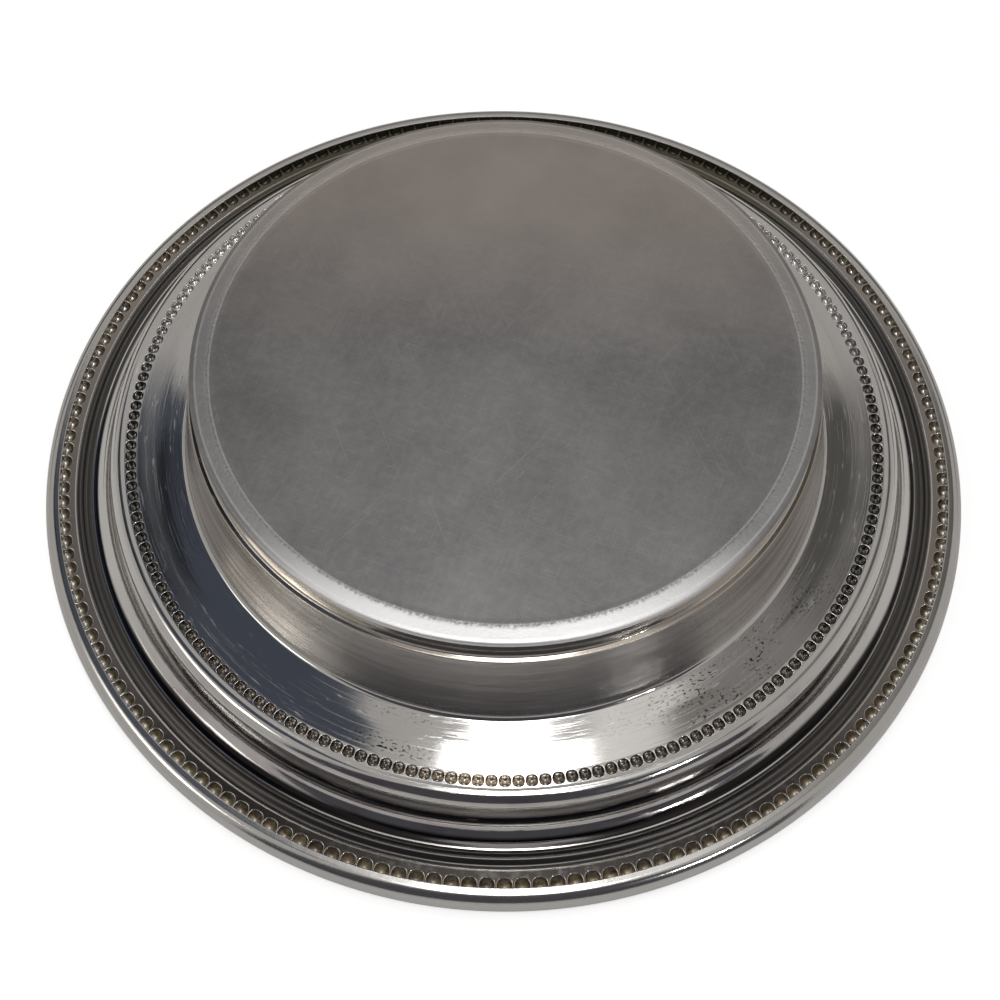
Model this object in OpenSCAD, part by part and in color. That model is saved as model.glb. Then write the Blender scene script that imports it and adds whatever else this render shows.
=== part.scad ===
/* [Overall] */
// Outside diameter over the rolled edge
dish_d = 254; // [253.8:0.2:258]
// Height from the standing ring to the top of the rolled edge
dish_h = 49; // [48:0.5:54]
// Thickness of the spun body sheet
body_t = 1.1; // [0.9:0.1:1.2]
// Thickness of the stamped border strip
border_t = 0.9; // [0.8:0.05:0.95]

/* [Base and foot] */
// Diameter of the flat disc in the base
disc_d = 145.2; // [120:0.2:147]
// How far the disc is raised above the table
disc_recess = 0.6; // [0.4:0.1:0.9]
// Bend radius round the disc
disc_r = 6; // [2:0.5:6.5]
// Inner diameter of the ring that the dish stands on
stand_in_d = 151.8; // [151:0.1:152]
// Outer diameter of the ring that the dish stands on
stand_out_d = 154.2; // [154:0.1:154.2]
// Bend radius on both sides of the standing ring
stand_r = 2.5; // [1.5:0.1:2.5]
// Outside diameter of the foot
foot_d = 158; // [158:0.1:158.6]
// Rise of the worn shoulder outside the standing ring
shoulder_rise = 0.3; // [0.2:0.05:0.4]
// Radius of the turned corner of the foot
foot_corner_r = 1.9; // [1.4:0.1:1.9]
// Height at which the foot steps out to the wall
step_h = 6.6; // [6:0.1:8]
// Rise of the sloping step between foot and wall
step_rise = 0.6; // [0.4:0.05:0.7]
// Bend radius on both sides of that step
step_r = 0.7; // [0.5:0.05:0.75]

/* [Well wall and ledge] */
// Diameter of the wall at its lower end
wall_low_d = 161; // [160.8:0.1:161.6]
// Diameter of the wall where the ledge begins
wall_top_d = 171.4; // [168:0.2:176]
// Height of the ledge underside at the wall
ledge_h = 29.4; // [26:0.1:30.2]
// Bend radius between wall and ledge
ledge_r = 1.5; // [1:0.1:2.5]
// Height of the ledge underside at the inner beads
bead_band_h = 30.9; // [30.6:0.1:32]

/* [Inner bead ring] */
// Diameter of the ring through the inner beads
inner_ring_d = 201; // [200.6:0.1:201.4]
// Number of inner beads
inner_count = 200; // [40:1:200]
// Radius of the hollow pressed in from below
inner_hollow_r = 1.45; // [1.1:0.05:1.5]
// Radius of the bead raised on the top side
inner_bead_r = 1.5; // [1.3:0.05:1.5]
// Width of the flat band that carries the beads
bead_band_w = 3.4; // [3.2:0.1:3.6]

/* [Lip and cove] */
// Drop of the thin lip outside the inner beads
lip_drop = 0.45; // [0.3:0.05:0.5]
// Width of the slope down to the lip
lip_slope_w = 0.8; // [0.75:0.05:0.9]
// Diameter at which the cove turns upward
cove_low_d = 211.6; // [211.6:0.1:213]
// Radius of the lower bend of the cove
cove_low_r = 3.4; // [2:0.1:3.4]
// Diameter at which the cove turns out to the rim
cove_top_d = 218.4; // [217.6:0.2:218.8]
// Radius of the upper bend of the cove
cove_top_r = 5.2; // [4.8:0.1:5.4]
// Height of the rim underside
rim_h = 43; // [42:0.1:43.4]
// Diameter of the cut edge of the body
body_edge_d = 227.6; // [227.2:0.1:227.8]

/* [Beaded border] */
// Thickness of the solder film under the border
solder_t = 0.12; // [0.08:0.02:0.2]
// Part of the upper cove bend that the border laps over
lap_share = 0.5; // [0.25:0.25:0.75]
// Size of the solder fillet at the cut edge of the body
solder_fillet = 0.4; // [0.2:0.05:0.4]
// Diameter of the first groove of the reeding
groove_d = 228.4; // [228.2:0.1:229]
// Distance from one groove of the reeding to the next
reed_pitch = 3; // [2.8:0.1:3.1]
// Depth of the reeding
reed_depth = 0.8; // [0.5:0.1:0.9]
// Diameter of the ring through the outer beads
outer_ring_d = 243.8; // [243.4:0.1:244]
// Number of outer beads
outer_count = 183; // [40:1:183]
// Radius of the outer hollow seen from below
outer_hollow_r = 1.95; // [1.6:0.05:2]
// Radius of the outer bead on the top side
outer_bead_r = 2; // [1.9:0.05:2]

/* [Rolled edge] */
// Inner diameter of the hem that is turned in under the beads
hem_d = 245.2; // [244.6:0.1:246]
// Radius of the lower outside corner of the roll
roll_low_r = 3.3; // [2.8:0.1:3.3]
// Diameter of the wire inside the roll
wire_d = 1; // [0.6:0.05:1]

/* [Hidden] */
$fn = 72;
arc_steps = 4;
tight_steps = 2;
roll_steps = 8;
// Flat ring left round the beads, inside and outside their ring
bead_margin = 0.1;
// Bends tighter than the sheet keep this part of its thickness as radius
tight_share = 0.25;
lap_from = arc_steps * (1 - lap_share);
dish_r = dish_d / 2;
bead_band_in = (inner_ring_d - bead_band_w) / 2;
bead_band_out = (inner_ring_d + bead_band_w) / 2;
inner_from = inner_ring_d / 2 - inner_bead_r - bead_margin;
inner_to = inner_ring_d / 2 + inner_bead_r + bead_margin;
lip_in = bead_band_out + lip_slope_w;
lip_h = bead_band_h - lip_drop;
rim_top_h = rim_h + body_t;
groove_h = rim_top_h + solder_t;
band_h = groove_h - reed_depth;
hem_h = band_h - border_t;
// Half the flat bottom of a groove and half the flat crest of a reed
groove_flat = reed_pitch / 4 - reed_depth / 2;
outer_from = outer_ring_d / 2 - outer_bead_r - bead_margin;
flank_r = outer_ring_d / 2 + outer_bead_r + bead_margin;
roll_top_r = (dish_r - flank_r) / 2;
roll_top = [dish_r - roll_top_r, dish_h - roll_top_r];
roll_low = [dish_r - roll_low_r, hem_h + roll_low_r];

// Slope and centre of the upper cove bend, shared by body, solder and border
cove_slope = atan2(rim_h - lip_h, (cove_top_d - cove_low_d) / 2);
cove_centre = [cove_top_d / 2 + cove_top_r * tan(cove_slope / 2), rim_h - cove_top_r];

// Underside of the body from its centre to its cut edge, as [radius, height, bend, steps of the bend]
body_corners = [
    [0, disc_recess, 0],
    [disc_d / 2, disc_recess, disc_r, tight_steps],
    [stand_in_d / 2, 0, stand_r, tight_steps],
    [stand_out_d / 2, 0, stand_r, tight_steps],
    [foot_d / 2, shoulder_rise, foot_corner_r, arc_steps],
    [foot_d / 2, step_h, step_r, tight_steps],
    [wall_low_d / 2, step_h + step_rise, step_r, tight_steps],
    [wall_top_d / 2, ledge_h, ledge_r, tight_steps],
    [bead_band_in, bead_band_h, 0, 0],
    [bead_band_out, bead_band_h, 0, 0],
    [lip_in, lip_h, 0, 0],
    [cove_low_d / 2, lip_h, cove_low_r, arc_steps],
    [cove_top_d / 2, rim_h, cove_top_r, arc_steps],
    [body_edge_d / 2, rim_h, 0]
];

function unit(v) = v / norm(v);
function left_of(v) = [-v[1], v[0]];
function flat(c) = [c[0], c[1]];
function turns_left(a, b, c) = cross(flat(b) - flat(a), flat(c) - flat(b)) > 0;

// Points of one corner, rounded to its bend radius in its own number of steps, or left crisp
function bend(a, b, c) =
    b[3] == 0 ? [flat(b)] :
    let (
        back = unit(flat(a) - flat(b)),
        ahead = unit(flat(c) - flat(b)),
        half = acos(back * ahead) / 2,
        centre = flat(b) + unit(back + ahead) * b[2] / sin(half),
        start = flat(b) + back * b[2] / tan(half) - centre,
        from = atan2(start[1], start[0]),
        sweep = (turns_left(a, b, c) ? 1 : -1) * (180 - 2 * half)
    )
    arc(centre, b[2], from, from + sweep, b[3]);

function arc(centre, r, from, to, steps) = [
    for (i = [0 : steps]) let (t = from + (to - from) * i / steps) centre + r * [cos(t), sin(t)]
];

function rounded(cs) = [
    flat(cs[0]),
    for (i = [1 : len(cs) - 2]) each bend(cs[i - 1], cs[i], cs[i + 1]),
    flat(cs[len(cs) - 1])
];

// The same corners moved to the other face of a sheet of thickness t
function moved_corner(a, b, c, t) =
    let (
        before = left_of(unit(flat(b) - flat(a))),
        after = left_of(unit(flat(c) - flat(b))),
        place = flat(b) + t * (before + after) / (1 + before * after),
        bend_r = b[2] + (turns_left(a, b, c) ? -t : t)
    )
    [place[0], place[1], max(bend_r, tight_share * t), b[3]];

function moved_end(a, b, at, t) =
    let (place = flat(at) + t * left_of(unit(flat(b) - flat(a)))) [place[0], place[1], 0];

function other_face(cs, t) =
    let (last = len(cs) - 1)
    [
        moved_end(cs[0], cs[1], cs[0], t),
        for (i = [1 : last - 1]) moved_corner(cs[i - 1], cs[i], cs[i + 1], t),
        moved_end(cs[last - 1], cs[last], cs[last], t)
    ];

function reversed(ps) = [for (i = [len(ps) - 1 : -1 : 0]) ps[i]];

// Arc of the lap round the centre of the upper cove bend, ending level
function lap(r) = [
    for (i = [lap_from : arc_steps])
        let (t = 90 + cove_slope * (1 - i / arc_steps)) cove_centre + r * [cos(t), sin(t)]
];

module spun(points) rotate_extrude() polygon(points);

module bead_ring(count, ring_d, h, r)
    for (i = [0 : count - 1])
        rotate([0, 0, 360 * i / count]) translate([ring_d / 2, 0, h]) sphere(r);

// Cross-section of a flat band that carries a ring of beads
module band_section(from, to, h, t) translate([from, h]) square([to - from, t]);

// Flat band with its beads raised on the top and hollow underneath
module pressed_band(from, to, h, t, count, ring_d, hollow_r, bead_r)
    difference() {
        union() {
            rotate_extrude() band_section(from, to, h, t);
            bead_ring(count, ring_d, h + t, bead_r);
        }
        bead_ring(count, ring_d, h, hollow_r);
    }

// One sheet, spun to shape, with the inner beads pressed up from below
module dish_body()
    color([0.76, 0.75, 0.73])
    union() {
        rotate_extrude()
        difference() {
            polygon(concat(
                rounded(body_corners),
                reversed(rounded(other_face(body_corners, body_t)))
            ));
            translate([0, -body_t]) band_section(inner_from, inner_to, bead_band_h, 3 * body_t);
        }
        pressed_band(inner_from, inner_to, bead_band_h, body_t,
            inner_count, inner_ring_d, inner_hollow_r, inner_bead_r);
    }

// Solder film in the lap joint, with its fillet at the cut edge of the body
module border_solder()
    color([0.42, 0.4, 0.37])
    spun(concat(
        lap(cove_top_r + body_t),
        [
            [body_edge_d / 2, rim_top_h],
            [body_edge_d / 2, groove_h - solder_fillet],
            [body_edge_d / 2 + solder_fillet, groove_h]
        ],
        reversed(lap(cove_top_r + body_t + solder_t))
    ));

// One face of the lap, of the reeding and of the strip up to the beads, moved up by t
function reeded_edge(t) = concat(
    lap(cove_top_r + body_t + solder_t + t),
    [
        [groove_d / 2 + groove_flat, groove_h + t],
        [groove_d / 2 + reed_pitch / 2 - groove_flat, band_h + t],
        [groove_d / 2 + reed_pitch / 2 + groove_flat, band_h + t],
        [groove_d / 2 + reed_pitch - groove_flat, groove_h + t],
        [groove_d / 2 + reed_pitch + groove_flat, groove_h + t],
        [groove_d / 2 + reed_pitch * 3 / 2 - groove_flat, band_h + t],
        [outer_from, band_h + t]
    ]
);

// Outside of the roll, from its hem round to the flank behind the outer beads
roll_outside = concat(
    [[flank_r, band_h], [hem_d / 2, band_h], [hem_d / 2, hem_h]],
    arc(roll_low, roll_low_r, -90, 0, arc_steps),
    arc(roll_top, roll_top_r, 0, 180, roll_steps)
);

// Hollow inside the roll, one sheet thickness further in
hollow_from = -acos((flank_r + border_t - roll_low[0]) / (roll_low_r - border_t));
roll_inside = concat(
    arc(roll_low, roll_low_r - border_t, hollow_from, 0, arc_steps),
    arc(roll_top, roll_top_r - border_t, 0, 180, roll_steps)
);

// Die-stamped strip: lap, reeding, plain band, outer beads and rolled edge
module beaded_border()
    color([0.6, 0.57, 0.52])
    union() {
        spun(concat(reeded_edge(0), reversed(reeded_edge(border_t))));
        pressed_band(outer_from, flank_r, band_h, border_t,
            outer_count, outer_ring_d, outer_hollow_r, outer_bead_r);
        rotate_extrude()
        difference() {
            polygon(roll_outside);
            polygon(roll_inside);
        }
    }

// Wire that the edge of the strip is rolled over
module edge_wire()
    color([0.55, 0.5, 0.42])
    rotate_extrude() translate(roll_top) circle(d = wire_d);

dish_body();
border_solder();
beaded_border();
edge_wire();
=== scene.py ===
import math
import bpy
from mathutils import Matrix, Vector


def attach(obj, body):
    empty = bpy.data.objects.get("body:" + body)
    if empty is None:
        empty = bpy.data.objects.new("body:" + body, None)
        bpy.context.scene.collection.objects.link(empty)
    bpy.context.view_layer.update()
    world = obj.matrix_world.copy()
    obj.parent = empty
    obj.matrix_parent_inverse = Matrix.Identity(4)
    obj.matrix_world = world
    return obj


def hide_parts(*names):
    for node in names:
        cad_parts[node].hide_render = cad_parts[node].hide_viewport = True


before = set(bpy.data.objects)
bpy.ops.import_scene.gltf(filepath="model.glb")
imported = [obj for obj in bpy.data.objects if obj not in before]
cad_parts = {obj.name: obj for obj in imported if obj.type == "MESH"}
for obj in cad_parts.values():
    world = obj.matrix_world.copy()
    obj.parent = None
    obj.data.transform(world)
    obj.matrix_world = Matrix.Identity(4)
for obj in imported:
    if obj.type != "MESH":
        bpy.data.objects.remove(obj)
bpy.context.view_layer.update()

MM = 0.001

# Dish body: one disc of sheet metal, spun to base, foot, wall, ledge, lip and cove, silver plated.
# The inner beads are pressed up from below, so each is a squarish hollow on the underside.
# Satin and worn under the base, bright with turning lines everywhere else.
SHEET = 1.1
FLAT_RIM_H = 43.0
BODY_LINE = [
    # radius, height and bend radius of the underside's corners, from the centre out
    (0.0, 0.12, 0.0), (72.6, 0.12, 6.0),                        # recessed disc
    (75.2, 0.0, 6.0), (77.7, 0.0, 2.0),                         # standing ring
    (79.0, 0.25, 0.9), (79.0, 6.8, 0.5), (80.5, 7.05, 0.5),     # foot and the step above it
    (85.7, 29.4, 1.5),                                          # wall
    (92.0, 29.98, 40.0), (98.8, 30.9, 0.25),                    # ledge, a little bent
    (102.2, 30.9, 0.25), (103.0, 30.75, 0.5),                   # bead band and lip
    (105.8, 30.6, 3.4), (109.2, FLAT_RIM_H, 5.2),               # ogee cove
    (113.8, FLAT_RIM_H, 0.0),                                   # flat rim under the border
]
FOOT_SEAM_H = 1.5  # the satin base ends below this height
LEDGE_MID_R = 92.0
INNER_RING_R, INNER_COUNT, INNER_PHASE = 100.5, 200, 3.28259
INNER_BAND = (98.86, 102.14)
INNER_H = 30.9
INNER_HOLLOW = dict(r=1.44, lip=0.12, depth=1.4, square=2.5, up=-1)
INNER_BEAD = dict(r=1.44, lip=0.08, depth=1.4, square=2.1, up=1)


def bent(corners, side, steps=8):
    """A profile of straight runs and true bends, as (radius, height, normal) points."""
    points = []
    for i, (r, z, bend) in enumerate(corners):
        here = Vector((r, z))
        before = (here - Vector(corners[i - 1][:2])).normalized() if i else None
        last = i + 1 == len(corners)
        after = None if last else (Vector(corners[i + 1][:2]) - here).normalized()
        if before is None or after is None:
            along = before or after
            points.append((r, z, -along.y * side, along.x * side))
            continue
        turn = math.atan2(before.x * after.y - before.y * after.x, before.dot(after))
        way = math.copysign(bend, turn)
        start = here - before * bend * math.tan(abs(turn) / 2)
        centre = start + Vector((-before.y, before.x)) * way
        for k in range(steps + 1):
            c, s = math.cos(turn * k / steps), math.sin(turn * k / steps)
            along = Vector((before.x * c - before.y * s, before.x * s + before.y * c))
            place = centre - Vector((-along.y, along.x)) * way
            points.append((place.x, place.y, -along.y * side, along.x * side))
    return points


def moved(corners, t, least=0.25):
    """The corners of the sheet's other face, t away to the left."""
    out = []
    for i, (r, z, bend) in enumerate(corners):
        runs = []
        if i:
            runs.append((Vector((r, z)) - Vector(corners[i - 1][:2])).normalized())
        if i + 1 < len(corners):
            runs.append((Vector(corners[i + 1][:2]) - Vector((r, z))).normalized())
        first, last = runs[0], runs[-1]
        shift = (Vector((-first.y - last.y, first.x + last.x))) * (t / (1 + first.dot(last)))
        left_turn = first.x * last.y - first.y * last.x > 0
        out.append((r + shift.x, z + shift.y, max(bend + (-t if left_turn else t), least)))
    return out


class Skin:
    """Collects faces with exact normals and a material number, then makes one mesh of them."""

    def __init__(self):
        self.verts, self.normals, self.faces, self.slots = [], [], [], []

    def rows(self, rows, slot, flip=False):
        """Closed rows of (place, normal) points, each row joined to the next."""
        starts = []
        for row in rows:
            starts.append(len(self.verts))
            for place, normal in row:
                self.verts.append(tuple(c * MM for c in place))
                self.normals.append(tuple(normal))
        for a, b in zip(starts, starts[1:]):
            n = b - a
            for k in range(n):
                quad = (a + k, a + (k + 1) % n, b + (k + 1) % n, b + k)
                self.faces.append(quad[::-1] if flip else quad)
                self.slots.append(slot)

    def revolve(self, points, slot, around=480, flip=False):
        rows = []
        for r, z, nr, nz in points:
            turns = [2 * math.pi * k / around for k in range(around)]
            rows.append([((r * math.cos(t), r * math.sin(t), z),
                          (nr * math.cos(t), nr * math.sin(t), nz)) for t in turns])
        self.rows(rows, slot, flip)

    def made(self, name, materials):
        mesh = bpy.data.meshes.new(name)
        mesh.from_pydata(self.verts, [], self.faces)
        for m in materials:
            mesh.materials.append(m)
        mesh.polygons.foreach_set("material_index", self.slots)
        mesh.polygons.foreach_set("use_smooth", [True] * len(self.faces))
        mesh.normals_split_custom_set_from_vertices(self.normals)
        mesh.update()
        piece = bpy.data.objects.new(name, mesh)
        bpy.context.scene.collection.objects.link(piece)
        return piece


def bead_cell(count, ring_r, index, phase, band, z, r, lip, depth, square, up, per_side=5):
    """One bead in its share of a flat band, as rows of points from the share's edge to the pole.

    up is 1 for a bead that stands up and -1 for the hollow under it. square is 2 for a round
    bead and more for a squarer one. Its edge turns up round a small radius, lip."""
    mid = phase + 2 * math.pi * index / count
    half = math.pi / count * ring_r
    low, high = band[0] - ring_r, band[1] - ring_r
    corners = [(low, -half), (high, -half), (high, half), (low, half), (low, -half)]
    edge = [(a[0] + (b[0] - a[0]) * k / per_side, a[1] + (b[1] - a[1]) * k / per_side)
            for a, b in zip(corners, corners[1:]) for k in range(per_side)]
    levels = [None] + [r + lip - lip * math.sin(math.radians(a)) for a in (0, 30, 60)] \
        + [r * math.cos(math.radians(b)) for b in (0, 12, 25, 40, 55, 72, 89.9)]
    rows = []
    for level in levels:
        row = []
        for ex, ey in edge:
            reach = (abs(ex) ** square + abs(ey) ** square) ** (1 / square)
            f = reach if level is None else min(level, reach)
            x, y = ex * f / reach, ey * f / reach
            if f >= r + lip:
                h, slope = 0.0, 0.0
            elif f > r:
                a = math.asin(min((r + lip - f) / lip, 0.999))
                h, slope = lip * (1 - math.cos(a)), math.tan(a)
            else:
                part = math.sqrt(max(1 - (f / r) ** 2, 0.001))
                h, slope = lip + depth * part, depth / r * (f / r) / part
            gx = math.copysign(abs(x) ** (square - 1), x)
            gy = math.copysign(abs(y) ** (square - 1), y)
            size = max(math.hypot(gx, gy), 1e-9)
            nx, ny = slope * gx / size * up, slope * gy / size * up
            length = math.sqrt(nx * nx + ny * ny + 1)
            rad, t = ring_r + x, mid + y / ring_r
            c, s = math.cos(t), math.sin(t)
            row.append(((rad * c, rad * s, z + h),
                        ((nx * c - ny * s) / length, (nx * s + ny * c) / length, up / length)))
        rows.append(row)
    return rows


class Shade:
    """A shader socket that takes part in plain sums; every operation adds one Math node."""

    tree = None

    def __init__(self, socket):
        self.socket = socket

    @classmethod
    def node(cls, kind, settings=None, **inputs):
        """A new node; an input is given by its name, or as i and its number."""
        made = cls.tree.nodes.new(kind)
        for key, value in (settings or {}).items():
            setattr(made, key, value)
        for key, value in inputs.items():
            label = int(key[1:]) if key[1:].isdigit() else key.replace("_", " ")
            cls.put(value, made.inputs[label])
        return made

    @classmethod
    def put(cls, value, spot):
        if isinstance(value, Shade):
            cls.tree.links.new(value.socket, spot)
        else:
            spot.default_value = value

    @classmethod
    def math(cls, operation, *values):
        made = cls.tree.nodes.new("ShaderNodeMath")
        made.operation = operation
        for spot, value in zip(made.inputs, values):
            cls.put(value, spot)
        return Shade(made.outputs[0])

    def __add__(self, other):
        return Shade.math("ADD", self, other)

    def __radd__(self, other):
        return Shade.math("ADD", other, self)

    def __sub__(self, other):
        return Shade.math("SUBTRACT", self, other)

    def __rsub__(self, other):
        return Shade.math("SUBTRACT", other, self)

    def __mul__(self, other):
        return Shade.math("MULTIPLY", self, other)

    def __rmul__(self, other):
        return Shade.math("MULTIPLY", other, self)

    def __truediv__(self, other):
        return Shade.math("DIVIDE", self, other)

    def __neg__(self):
        return 0.0 - self

    def rise(self, low, high):
        """0 below low, 1 above high and smooth between."""
        made = Shade.node("ShaderNodeMapRange", {"interpolation_type": "SMOOTHSTEP"},
                          Value=self, From_Min=low, From_Max=high)
        return Shade(made.outputs["Result"])

    def within(self, low, low_full, high_full, high):
        """1 from low_full to high_full, fading to 0 at low and high."""
        return self.rise(low, low_full) * (1 - self.rise(high_full, high))

    def near(self, at, width):
        """1 at a value and 0 one width away on both sides."""
        return 1 - Shade.math("ABSOLUTE", self - at).rise(0.0, width)

    def colours(self, low, high):
        """The colour low where this is 0 and high where it is 1."""
        low, high = (c if isinstance(c, Shade) else (*c, 1) for c in (low, high))
        mix = Shade.node("ShaderNodeMix", {"data_type": "RGBA"}, i0=self, i6=low, i7=high)
        return Shade(mix.outputs[2])


def noise(x, y, z, detail=2.0, rough=0.5, warp=0.0):
    """Cloudy noise about 0.5, with patches about one unit of x, y and z wide."""
    place = Shade(Shade.node("ShaderNodeCombineXYZ", X=x, Y=y, Z=z).outputs[0])
    made = Shade.node("ShaderNodeTexNoise", Vector=place, Scale=1.0,
                      Detail=detail, Roughness=rough, Distortion=warp)
    return Shade(made.outputs["Fac"])


def metal(name):
    """A fresh metal, with the place in mm and the turn that every piece's pattern starts from."""
    material = bpy.data.materials.new(name)
    material.use_nodes = True
    Shade.tree = material.node_tree
    surface = Shade.tree.nodes["Principled BSDF"]
    surface.inputs["Metallic"].default_value = 1.0
    place = Shade(Shade.node("ShaderNodeTexCoord").outputs["Object"])
    parts = Shade.node("ShaderNodeSeparateXYZ", Vector=place)
    x, y, z = (Shade(parts.outputs[i]) * 1000.0 for i in range(3))
    radius, turn = Shade.math("SQRT", x * x + y * y), Shade.math("ARCTAN2", y, x)
    return material, surface, x, y, z, radius, turn


def scratches(x, y, angle, long, fine, seed, low, high):
    """Thin straight lines: noise drawn out along one direction and cut near its top."""
    c, s = math.cos(angle), math.sin(angle)
    lines = noise((x * c + y * s) / long, (y * c - x * s) * fine, seed, 1.0, 0.4, 0.15)
    return lines.rise(low, high)


def finish(surface, colour, rough, height, depth):
    """Colour, roughness and a bump of the given depth in mm."""
    Shade.put(colour, surface.inputs["Base Color"])
    Shade.put(rough, surface.inputs["Roughness"])
    bump = Shade.node("ShaderNodeBump", Strength=1.0, Distance=depth * MM, Height=height)
    Shade.tree.links.new(bump.outputs["Normal"], surface.inputs["Normal"])


skin = Skin()
for side, corners in ((-1, BODY_LINE), (1, moved(BODY_LINE, SHEET))):
    points = bent(corners, side)
    band_h = INNER_H if side < 0 else INNER_H + SHEET
    inner = [p for p in points if p[0] <= INNER_BAND[0]] + [(INNER_BAND[0], band_h, 0.0, side)]
    outer = [(INNER_BAND[1], band_h, 0.0, side)] + [p for p in points if p[0] >= INNER_BAND[1]]
    if side < 0:
        foot = [p for p in inner if p[1] < FOOT_SEAM_H]
        skin.revolve(foot, 0)
        skin.revolve(foot[-1:] + inner[len(foot):], 1)
        skin.revolve(outer, 1)
        cut_edge = [(outer[-1][0], outer[-1][1], 1.0, 0.0)]
    else:
        skin.revolve(inner, 2, flip=True)
        skin.revolve(outer, 2, flip=True)
        cut_edge.append((outer[-1][0], outer[-1][1], 1.0, 0.0))
skin.revolve(cut_edge, 1)
for i in range(INNER_COUNT):
    cell = (INNER_COUNT, INNER_RING_R, i, -INNER_PHASE, INNER_BAND)
    skin.rows(bead_cell(*cell, INNER_H, **INNER_HOLLOW), 1, flip=True)
    skin.rows(bead_cell(*cell, INNER_H + SHEET, **INNER_BEAD), 2)

# Under the base: grey satin, lighter and warmer towards the far part, and a standing ring that is
# worn a little all round and carries a painted white highlight on the near part.
SATIN_DARK, SATIN_LIGHT = (0.178, 0.176, 0.177), (0.277, 0.270, 0.266)
SATIN_WARM = (0.49, 0.43, 0.39)
SCRATCH, RUBBED_EDGE, WORN_AND_PAINTED_HIGHLIGHT = (0.50, 0.49, 0.48), (0.75, 0.73, 0.70), (0.98, 0.97, 0.96)
base_metal, surface, x, y, z, radius, _ = metal("base_satin")
sparkle = noise(x * 1.1, y * 1.1, 3.0, 3.0, 0.7)
stand = (radius + 3.0 * (sparkle - 0.5)).rise(73.7, 75.0)
# standing ring: worn a little all round, plus a painted white highlight on the near part
ring_wear_and_painted_highlight = stand * (0.14 + 0.86 * (-y).rise(48.0, 75.0))
edges = radius.near(74.0, 0.4) + radius.near(77.4, 0.45)
mottle = noise(x * 0.45, y * 0.45, 5.0, 3.0, 0.6)
cloud = noise(x * 0.03, y * 0.03, 0.0, 3.0, 0.6)
fine = scratches(x, y, 0.35, 9.0, 5.0, 1.0, 0.58, 0.70) \
    + scratches(x, y, 1.9, 12.0, 6.0, 4.0, 0.58, 0.70) \
    + scratches(x, y, 2.75, 7.0, 7.0, 8.0, 0.60, 0.72)
long_lines = scratches(x, y, 1.2, 30.0, 2.2, 11.0, 0.66, 0.74) \
    + scratches(x, y, 2.3, 40.0, 2.0, 15.0, 0.68, 0.76)
grain = noise(x * 4.0, y * 4.0, z * 4.0, 3.0, 0.7)
pits = noise(x * 1.3, y * 1.3, 0.0, 2.0, 0.5).rise(0.70, 0.78)
shade = cloud.rise(0.3, 0.7) * 0.7 + mottle.rise(0.3, 0.7) * 0.3
colour = shade.colours(SATIN_DARK, SATIN_LIGHT)
# lighter and warmer towards the far part
colour = (y.rise(-10.0, 70.0) * (0.5 + 0.7 * cloud)).colours(colour, SATIN_WARM)
colour = ((fine + long_lines) * 0.13).colours(colour, SCRATCH)
colour = (edges * 0.35).colours(colour, RUBBED_EDGE)
# near-white standing ring: slight real rubbing, mostly a painted highlight on the near part
colour = ring_wear_and_painted_highlight.colours(colour, WORN_AND_PAINTED_HIGHLIGHT)
rough = 0.38 + 0.10 * cloud + 0.05 * grain
finish(surface, colour, rough,
       0.9 * grain + 0.15 * fine + 0.3 * long_lines - 0.6 * pits + stand * sparkle * 2.2, 0.025)

# Foot, wall, ledge, lip and cove from below: bright plate with turning lines. Dark pits lie on the
# ledge.
# Painted reflections: dark brown on the wall, dark in the cove's upper bend, bright on the cove's
# sides, and dark, tan and white over the tarnish in the hollows.
PLATE_DULL, PLATE_CLEAN, COVE_PAINTED_SHEEN = (0.68, 0.66, 0.63), (0.78, 0.77, 0.76), (0.95, 0.93, 0.90)
WALL_PAINTED_REFLECTION, COVE_RED, BEND_PAINTED_DARK = (0.20, 0.16, 0.135), (0.48, 0.36, 0.42), (0.028, 0.026, 0.026)
STEP_GOLD, PIT = (0.62, 0.55, 0.46), (0.02, 0.02, 0.02)
HOLLOW_SIDE_TARNISH_SHADE, HOLLOW_FRONT_TARNISH_SHADE = (0.04, 0.036, 0.03), (0.11, 0.09, 0.065)
HOLLOW_FAR_PAINTED_WHITE, HOLLOW_PAINTED_WINDOW_TAN = (0.85, 0.84, 0.82), (0.62, 0.52, 0.40)
side_metal, surface, x, y, z, radius, turn = metal("side_plate")
rings = noise(radius * 1.6, z * 1.6, turn * 0.8, 3.0, 0.6)
hair = noise(radius * 5.0, z * 5.0, turn * 2.5, 2.0, 0.6)
turned = noise(radius * 2.2, 7.0, turn * 3.0, 3.0, 0.65).rise(0.52, 0.72)
cloud = noise(x * 0.05, y * 0.05, z * 0.05, 3.0, 0.55)
marks = noise(radius * 0.9, turn * 14.0, z * 0.9, 2.0, 0.5).rise(0.64, 0.74)
streaks = noise(radius * 0.2, z * 0.55, turn * 2.0, 4.0, 0.6).rise(0.38, 0.62)
rub = noise(turn * 9.0, z * 0.25, radius * 0.2, 3.0, 0.6).rise(0.45, 0.7)
wall = radius.within(79.6, 80.6, 84.6, 86.2)
cove = radius.rise(104.0, 105.2)
in_hollow = radius.near(INNER_RING_R, 1.75) * z.rise(INNER_H + 0.08, INNER_H + 0.35)
front = (-y).rise(40.0, 82.0)
top_bend = (radius + 1.2 * front).rise(111.8, 112.8) * (1 - radius.rise(113.4, 113.5))
along = turn * LEDGE_MID_R
on_ledge = radius.within(86.5, 88.0, 97.5, 98.4)
pitted = turn.near(-2.28, 0.55) + turn.near(-1.29, 0.16)
patches = noise(radius * 0.16, along * 0.07, 9.0, 1.0).rise(0.42, 0.58)
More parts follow.
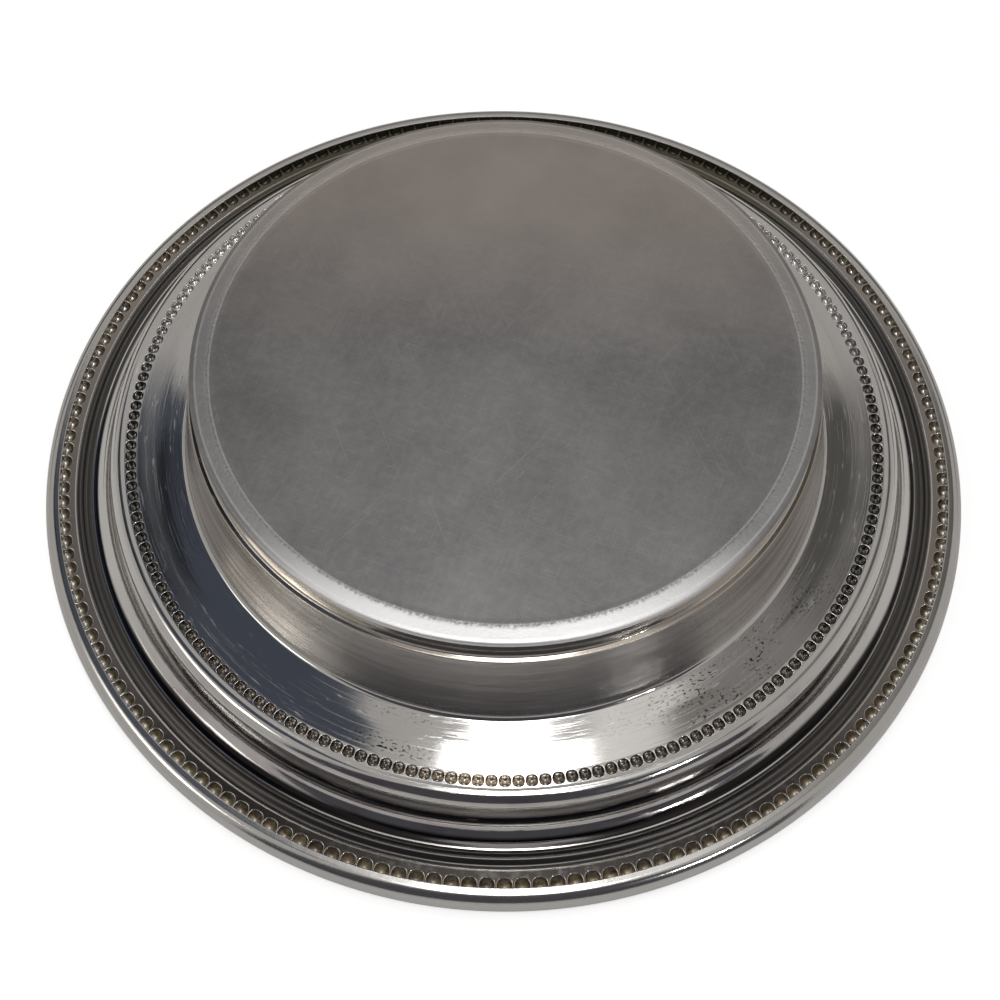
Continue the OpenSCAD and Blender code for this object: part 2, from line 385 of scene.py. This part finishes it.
spots = noise(radius * 2.1, along * 0.95, 4.0, 1.0, 0.4, 0.3).rise(0.60, 0.63) \
    * on_ledge * pitted * patches
step = radius.within(79.1, 79.4, 80.3, 80.6)
# painted dark brown reflection on the wall, weaker on the near part
wall_painted_reflection = wall * (1 - 0.8 * front) * (0.65 + 0.35 * streaks) + 0.12 * wall * front * streaks
colour = cloud.colours(PLATE_DULL, PLATE_CLEAN)
colour = wall_painted_reflection.colours(colour, WALL_PAINTED_REFLECTION)
# painted bright reflection on the cove, except on the near part
colour = (cove * (1 - front) * 0.8).colours(colour, COVE_PAINTED_SHEEN)
colour = (cove * front * 0.4 * rub).colours(colour, COVE_RED)
# painted dark reflection in the cove's upper bend, the corner under the border
colour = (top_bend * (0.9 + 0.1 * front)).colours(colour, BEND_PAINTED_DARK)
colour = (step * 0.8).colours(colour, STEP_GOLD)
colour = spots.colours(colour, PIT)
# hollows: tarnish under painted reflections, dark on the sides, tan at the front middle, white far
# off
hollow_tarnish_and_painted_reflection = front.colours(HOLLOW_SIDE_TARNISH_SHADE, HOLLOW_FRONT_TARNISH_SHADE)
hollow_tarnish_and_painted_reflection = y.rise(5.0, 50.0).colours(hollow_tarnish_and_painted_reflection, HOLLOW_FAR_PAINTED_WHITE)
hollow_tarnish_and_painted_reflection = (x.near(3.0, 24.0) * front).colours(hollow_tarnish_and_painted_reflection, HOLLOW_PAINTED_WINDOW_TAN)
colour = in_hollow.colours(colour, hollow_tarnish_and_painted_reflection)
rough = 0.05 + 0.06 * cloud + 0.10 * wall + 0.12 * wall * front + 0.02 * cove + 0.10 * marks \
    + 0.2 * in_hollow + 0.07 * turned + 0.10 * radius.near(96.0, 5.0) * (1 - front)
finish(surface, colour, rough,
       0.3 * rings + 0.25 * hair + 0.4 * turned - 0.6 * marks * (1 - wall) + wall * streaks * 1.2,
       0.015)

# The open side: bright plate with turning lines and a few knife marks. It is out of the photo.
INSIDE_DULL, INSIDE_CLEAN = (0.74, 0.72, 0.68), (0.84, 0.83, 0.81)
inside_metal, surface, x, y, z, radius, turn = metal("inside_plate")
rings = noise(radius * 2.4, z * 2.4, turn * 0.6, 3.0, 0.6)
cloud = noise(x * 0.04, y * 0.04, z * 0.04, 3.0, 0.55)
knife = scratches(x, y, 0.8, 14.0, 3.0, 2.0, 0.66, 0.74) \
    + scratches(x, y, 2.2, 18.0, 3.5, 5.0, 0.66, 0.74)
colour = cloud.colours(INSIDE_DULL, INSIDE_CLEAN)
finish(surface, colour, 0.16 + 0.10 * cloud + 0.06 * knife, 0.4 * rings - 0.4 * knife, 0.02)

body = skin.made("dish_body_sheet", [base_metal, side_metal, inside_metal])
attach(body, "root")
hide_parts("dish_body")

# Border solder: soft solder that ran between the body's rim and the stamped strip.
# It shows only as a dull dark line in the groove beside the body's cut edge.
SOLDER_DARK, SOLDER_GREY = (0.07, 0.06, 0.055), (0.20, 0.19, 0.17)
solder_metal, surface, x, y, z, _, _ = metal("soft_solder_metal")
lumps = noise(x * 0.8, y * 0.8, z * 0.8, 3.0, 0.6)
finish(surface, lumps.colours(SOLDER_DARK, SOLDER_GREY), 0.55 + 0.2 * lumps, lumps, 0.08)
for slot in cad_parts["border_solder"].material_slots:
    slot.material = solder_metal

# Beaded border: a die-stamped strip with reeding, a plain band and the outer beads, silver plated.
# Its outer edge is rolled down and under, and the turned-in hem covers part of each hollow.
# Brown tarnish stays in the hollows and grooves, where polish doesn't reach.
STRIP = 0.9
LAP_CENTRE, LAP_R, LAP_TURN = (113.18, 37.8), 6.42, 37.4
LAP_EDGE_FACES = (-0.79, -0.61)  # the way that the lap's cut edge faces, in and down
GROOVE_R, REED_PITCH, REED_DEPTH = 114.2, 3.0, 0.8
BAND_H = 43.42
OUTER_RING_R, OUTER_COUNT, OUTER_PHASE = 121.9, 183, 3.26853
OUTER_BAND = (119.8, 124.0)
OUTER_HOLLOW = dict(r=1.80, lip=0.27, depth=1.7, square=2.4, up=-1)
OUTER_BEAD = dict(r=1.92, lip=0.08, depth=1.9, square=2.05, up=1)
HEM_R, HEM_H, HEM_BEND, HEM_TOP_H = 122.6, 42.52, 0.25, 45.6
OUT_R, TOP_H = 126.96, 49.0
LOW_ROLL_R, TOP_ROLL_R = 3.3, 1.5


def lap_and_reeding(t, side):
    """One face of the strip up to its beads, moved up by t."""
    points = []
    for k in range(9):
        a = math.radians(90 + LAP_TURN * (1 - k / 8))
        c, s = math.cos(a), math.sin(a)
        points.append((LAP_CENTRE[0] + (LAP_R + t) * c, LAP_CENTRE[1] + (LAP_R + t) * s,
                       c * side, s * side))
    for k in range(31):
        a = 3 * math.pi * k / 30
        slope = -REED_DEPTH * math.pi / REED_PITCH * math.sin(a)
        size = math.hypot(slope, 1)
        points.append((GROOVE_R + REED_PITCH * a / (2 * math.pi),
                       BAND_H + t + REED_DEPTH * (1 + math.cos(a)) / 2,
                       -slope * side / size, side / size))
    return points + [(OUTER_BAND[0], BAND_H + t, 0.0, side)]


def round_corner(centre, r, start, end, steps):
    """Part of a circle, between two angles in degrees, as (radius, height, normal) points."""
    turns = [math.radians(start + (end - start) * k / steps) for k in range(steps + 1)]
    return [(centre[0] + r * math.cos(a), centre[1] + r * math.sin(a), math.cos(a), math.sin(a))
            for a in turns]


skin = Skin()
below, above = lap_and_reeding(0.0, -1), lap_and_reeding(STRIP, 1)
skin.revolve(below, 0)
skin.revolve(above, 1, flip=True)
skin.revolve([(*below[0][:2], *LAP_EDGE_FACES), (*above[0][:2], *LAP_EDGE_FACES)], 1, flip=True)
for i in range(OUTER_COUNT):
    cell = (OUTER_COUNT, OUTER_RING_R, i, -OUTER_PHASE, OUTER_BAND)
    skin.rows(bead_cell(*cell, BAND_H, **OUTER_HOLLOW), 0, flip=True)
    skin.rows(bead_cell(*cell, BAND_H + STRIP, **OUTER_BEAD), 1)
hem = [(HEM_R, HEM_TOP_H, -1.0, 0.0)] \
    + round_corner((HEM_R + HEM_BEND, HEM_H + HEM_BEND), HEM_BEND, 180, 270, 6)
under_roll = round_corner((OUT_R - LOW_ROLL_R, HEM_H + LOW_ROLL_R), LOW_ROLL_R, -90, 0, 14)
over_roll = round_corner((OUT_R - TOP_ROLL_R, TOP_H - TOP_ROLL_R), TOP_ROLL_R, 0, 180, 24)
skin.revolve(hem + under_roll, 0)
skin.revolve(under_roll[-1:] + over_roll + [(OUTER_BAND[1], BAND_H + STRIP, -1.0, 0.0)], 1)

# From below: dark reeds, brown hollows, a band with a painted dark reflection that is darkest on the
# near part, and a painted dark olive reflection on the far part.
BORDER_DULL, BORDER_CLEAN = (0.66, 0.64, 0.61), (0.76, 0.75, 0.73)
BAND_TAUPE, BAND_NEAR_PAINTED_DARK = (0.42, 0.37, 0.33), (0.035, 0.031, 0.028)
REED_DARK, TARNISH_DARK = (0.055, 0.05, 0.047), (0.12, 0.092, 0.06)
TARNISH_GOLD, FAR_PAINTED_DARK_OLIVE = (0.34, 0.27, 0.165), (0.10, 0.09, 0.062)
border_metal, surface, x, y, z, radius, turn = metal("border_plate_under")
cloud = noise(x * 0.06, y * 0.06, z * 0.06, 3.0, 0.55)
rings = noise(radius * 2.5, z * 2.5, turn * 2.0, 3.0, 0.6)
mottle = noise(x * 0.5, y * 0.5, z * 0.5, 4.0, 0.6)
hollow = radius.near(121.2, 1.9) * z.rise(BAND_H + 0.18, BAND_H + 0.38)
far = y.rise(60.0, 105.0)
reeds = 1 - radius.rise(117.9, 118.6)
band = radius.within(118.2, 118.7, 122.4, 122.6) * (1 - z.rise(BAND_H + 0.005, BAND_H + 0.03))
colour = cloud.colours(BORDER_DULL, BORDER_CLEAN)
# painted dark reflection on the band, darkest on the near part
band_painted_reflection = (-y).rise(35.0, 105.0).colours(BAND_TAUPE, BAND_NEAR_PAINTED_DARK)
colour = (band * (0.85 + 0.3 * mottle)).colours(colour, band_painted_reflection)
colour = (reeds * 0.9).colours(colour, REED_DARK)
colour = hollow.colours(colour, mottle.rise(0.35, 0.65).colours(TARNISH_DARK, TARNISH_GOLD))
# painted dark olive reflection over the far part, out to the hem
colour = (far * (1 - radius.rise(122.5, 123.0)) * 0.9).colours(colour, FAR_PAINTED_DARK_OLIVE)
rough = 0.12 + 0.08 * cloud + 0.40 * hollow + 0.15 * band + 0.14 * reeds + 0.2 * far
finish(surface, colour, rough, 0.4 * rings + 0.8 * mottle * (1 - hollow), 0.02)

# From above: bright plate with tarnish round the beads and in the groove beside the lap.
TOP_DULL, TOP_CLEAN, TOP_TARNISH = (0.72, 0.70, 0.66), (0.82, 0.81, 0.79), (0.16, 0.12, 0.08)
border_top, surface, x, y, z, radius, _ = metal("border_plate_top")
cloud = noise(x * 0.06, y * 0.06, z * 0.06, 3.0, 0.55)
top_h = BAND_H + STRIP
tarnish = radius.near(OUTER_RING_R, 2.2) * (1 - z.rise(top_h + 0.08, top_h + 0.88)) \
    + radius.near(115.7, 0.7)
colour = cloud.colours(TOP_DULL, TOP_CLEAN)
colour = (tarnish * 0.7).colours(colour, TOP_TARNISH)
finish(surface, colour, 0.15 + 0.12 * cloud, noise(x * 0.35, y * 0.35, z * 0.35, 3.0, 0.5), 0.024)

border = skin.made("beaded_border_strip", [border_metal, border_top])
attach(border, "root")
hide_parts("beaded_border")

# Edge wire: a plain drawn brass wire that the strip's edge is rolled over, to stiffen the rim.
# It lies in the roll, out of sight, and has fine lines along it from the drawing die.
WIRE_DULL, WIRE_CLEAN = (0.42, 0.33, 0.16), (0.55, 0.45, 0.25)
wire_metal, surface, _, _, z, radius, turn = metal("drawn_wire")
draw = noise(radius * 3.0, z * 3.0, turn * 4.0, 2.0, 0.5)
finish(surface, draw.colours(WIRE_DULL, WIRE_CLEAN), 0.3 + 0.15 * draw, draw, 0.01)
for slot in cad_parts["edge_wire"].material_slots:
    slot.material = wire_metal

# Studio: the dish lies on its rim in the photo, so the pale floor is a sheet round the rim that
# faces down and can't be seen from above. Lamps and cards hang on the camera's side of it, out
# of its sight, and the metal mirrors them. One soft lamp lights the open side through its hole.


def flat_piece(name, outline, height, material):
    """A flat card at one height, in metres, that faces down if its outline runs clockwise."""
    mesh = bpy.data.meshes.new(name)
    mesh.from_pydata([(px, py, 0.0) for px, py in outline], [], [range(len(outline))])
    mesh.materials.append(material)
    piece = bpy.data.objects.new(name, mesh)
    piece.location.z = height
    bpy.context.scene.collection.objects.link(piece)
    return piece


def plain(name):
    """A fresh material, and a value that is 1 for what the camera sees directly."""
    material = bpy.data.materials.new(name)
    material.use_nodes = True
    Shade.tree = material.node_tree
    return material, Shade(Shade.node("ShaderNodeLightPath").outputs["Is Camera Ray"])


def blend(part, low, high):
    """The surface low where part is 0 and high where it is 1."""
    mix = Shade.node("ShaderNodeMixShader", i0=part)
    Shade.tree.links.new(low, mix.inputs[1])
    Shade.tree.links.new(high, mix.inputs[2])
    return mix.outputs[0]


def card(name, outline, height, level, colour=(1.0, 1.0, 1.0)):
    """A card of a given brightness that only light and reflections see."""
    material, seen = plain(name)
    shine = Shade.node("ShaderNodeEmission", Color=(*colour, 1), Strength=level).outputs[0]
    clear = Shade.node("ShaderNodeBsdfTransparent").outputs[0]
    Shade.tree.links.new(blend(seen, shine, clear),
                         Shade.tree.nodes["Material Output"].inputs["Surface"])
    return flat_piece(name, outline, height, material)


def lamp(name, place, target, size, level, colour=(1.0, 1.0, 1.0)):
    """A flat lamp of a given brightness, so that its power follows from its size in metres."""
    light = bpy.data.lights.new(name, "AREA")
    light.shape, light.size, light.size_y = "RECTANGLE", size[0], size[1]
    light.energy, light.color = level * math.pi * size[0] * size[1], colour
    holder = bpy.data.objects.new(name, light)
    holder.location = place
    holder.rotation_euler = (Vector(target) - Vector(place)).to_track_quat("-Z", "Y").to_euler()
    holder.visible_camera = False
    bpy.context.scene.collection.objects.link(holder)


RIM_SHEET_R, RIM_SHEET_H = (125.2, 2000.0), 49.3
floor_card, seen = plain("rim_sheet")
surface = Shade.tree.nodes["Principled BSDF"]
surface.inputs["Base Color"].default_value = (0.8, 0.8, 0.8, 1)
surface.inputs["Roughness"].default_value = 0.9
surface.inputs["Specular IOR Level"].default_value = 0.0
shine = Shade.node("ShaderNodeEmission", Color=(1, 1, 1, 1), Strength=0.6)
both = Shade.node("ShaderNodeAddShader")
Shade.tree.links.new(surface.outputs[0], both.inputs[0])
Shade.tree.links.new(shine.outputs[0], both.inputs[1])
back = Shade(Shade.node("ShaderNodeNewGeometry").outputs["Backfacing"])
clear = Shade.node("ShaderNodeBsdfTransparent").outputs[0]
below = blend(seen, surface.outputs[0], both.outputs[0])
Shade.tree.links.new(blend(back, below, clear),
                     Shade.tree.nodes["Material Output"].inputs["Surface"])
sheet = Skin()
sheet.revolve([(r, RIM_SHEET_H, 0.0, -1.0) for r in RIM_SHEET_R], 0, around=120)
sheet.made("rim_sheet", [floor_card])

card("dark_clothes", [(-0.24, -0.33), (0.2, -0.33), (1.0, -1.0), (4.4, -4.2), (-5.5, -4.2),
                      (-1.45, -0.85)], -1.0, 0.065, (0.96, 0.94, 1.08))
card("dark_far_side", [(5.0, 1.7), (5.0, 6.0), (-5.0, 6.0), (-5.0, 1.7)],
     -1.0, 0.05, (1.0, 0.95, 0.85))
card("dim_corner_left", [(0.22, -0.14), (0.3, -0.12), (0.5, -0.02), (0.8, 0.2), (0.98, 0.6),
                         (0.8, 0.9), (0.5, 0.65), (0.3, 0.45), (0.22, 0.4)],
     -1.0, 0.075, (0.76, 0.88, 1.18))
card("dark_corner_left", [(0.54, 0.26), (0.7, 0.28), (0.8, 0.6), (0.62, 0.66)],
     -0.995, 0.02, (0.85, 0.95, 1.1))
card("dim_corner_right", [(-0.3, -0.04), (-0.36, 0.4), (-0.5, 0.8), (-0.9, 0.9), (-0.9, 0.4),
                          (-0.62, 0.05)], -1.0, 0.21, (1.0, 0.96, 0.92))
card("dark_corner_right", [(-0.48, 0.2), (-0.5, 0.72), (-0.8, 0.8), (-0.8, 0.5), (-0.62, 0.25)],
     -0.995, 0.09, (1.0, 0.96, 0.92))
WINDOW_LEVEL, BULB_LEVEL = 7.0, 130.0
BULB_SIZE, BULB_AIM = (0.03, 0.05), (-0.048, -0.093, 0.03)
lamp("window_under", (-0.03, -0.15, -0.99), (-0.03, -0.15, 0.0), (0.24, 0.22), WINDOW_LEVEL)
lamp("window_top", (-0.015, 0.20, -0.99), (-0.015, 0.20, 0.0), (0.095, 0.48), WINDOW_LEVEL)
lamp("window_side", (-0.21, 0.02, -0.985), (-0.21, 0.02, 0.0), (0.145, 0.30), 0.32, (1.0, 0.97, 0.95))
lamp("cream_wall", (1.0, -0.42, -0.99), (1.0, -0.42, 0.0), (0.40, 0.34), 3.0, (1.0, 0.97, 0.91))
lamp("cream_wall_low", (1.0, -0.10, -0.99), (1.0, -0.10, 0.0), (0.40, 0.30), 1.3, (1.0, 0.96, 0.90))
lamp("bulb_one", (-0.665, -0.84, -0.95), BULB_AIM, BULB_SIZE, BULB_LEVEL)
lamp("bulb_two", (-0.76, -0.805, -0.95), BULB_AIM, BULB_SIZE, BULB_LEVEL)
lamp("soft_lamp_over", (0.1, -0.1, 1.2), (0, 0, 0.02), (0.9, 0.9), 1.6)

world = bpy.data.worlds.new("studio_air")
bpy.context.scene.world = world
world.use_nodes = True
Shade.tree = world.node_tree
air = Shade.tree.nodes["Background"]
air.inputs["Color"].default_value = (1.0, 0.97, 0.94, 1)
air.inputs["Strength"].default_value = 0.42
white = Shade.node("ShaderNodeBackground", Color=(1, 1, 1, 1), Strength=1.0)
seen = Shade(Shade.node("ShaderNodeLightPath").outputs["Is Camera Ray"])
Shade.tree.links.new(blend(seen, air.outputs[0], white.outputs[0]),
                     Shade.tree.nodes["World Output"].inputs["Surface"])

# Camera: at the photo's viewpoint, below and in front of the dish, because the photo shows the
# dish bottom up. Its place and lens were fitted to the two bead rings.
camera_data = bpy.data.cameras.new("camera")
camera_data.sensor_width, camera_data.lens = 36.0, 45.792
camera_data.clip_start, camera_data.clip_end = 0.01, 20.0
camera = bpy.data.objects.new("camera", camera_data)
camera.location = (0.0, -0.18463, -0.26189)
camera.rotation_euler = tuple(math.radians(a) for a in (-151.51655, 0.34364, 179.05092))
bpy.context.scene.collection.objects.link(camera)
bpy.context.scene.camera = camera
bpy.context.scene.view_settings.view_transform = "Standard"
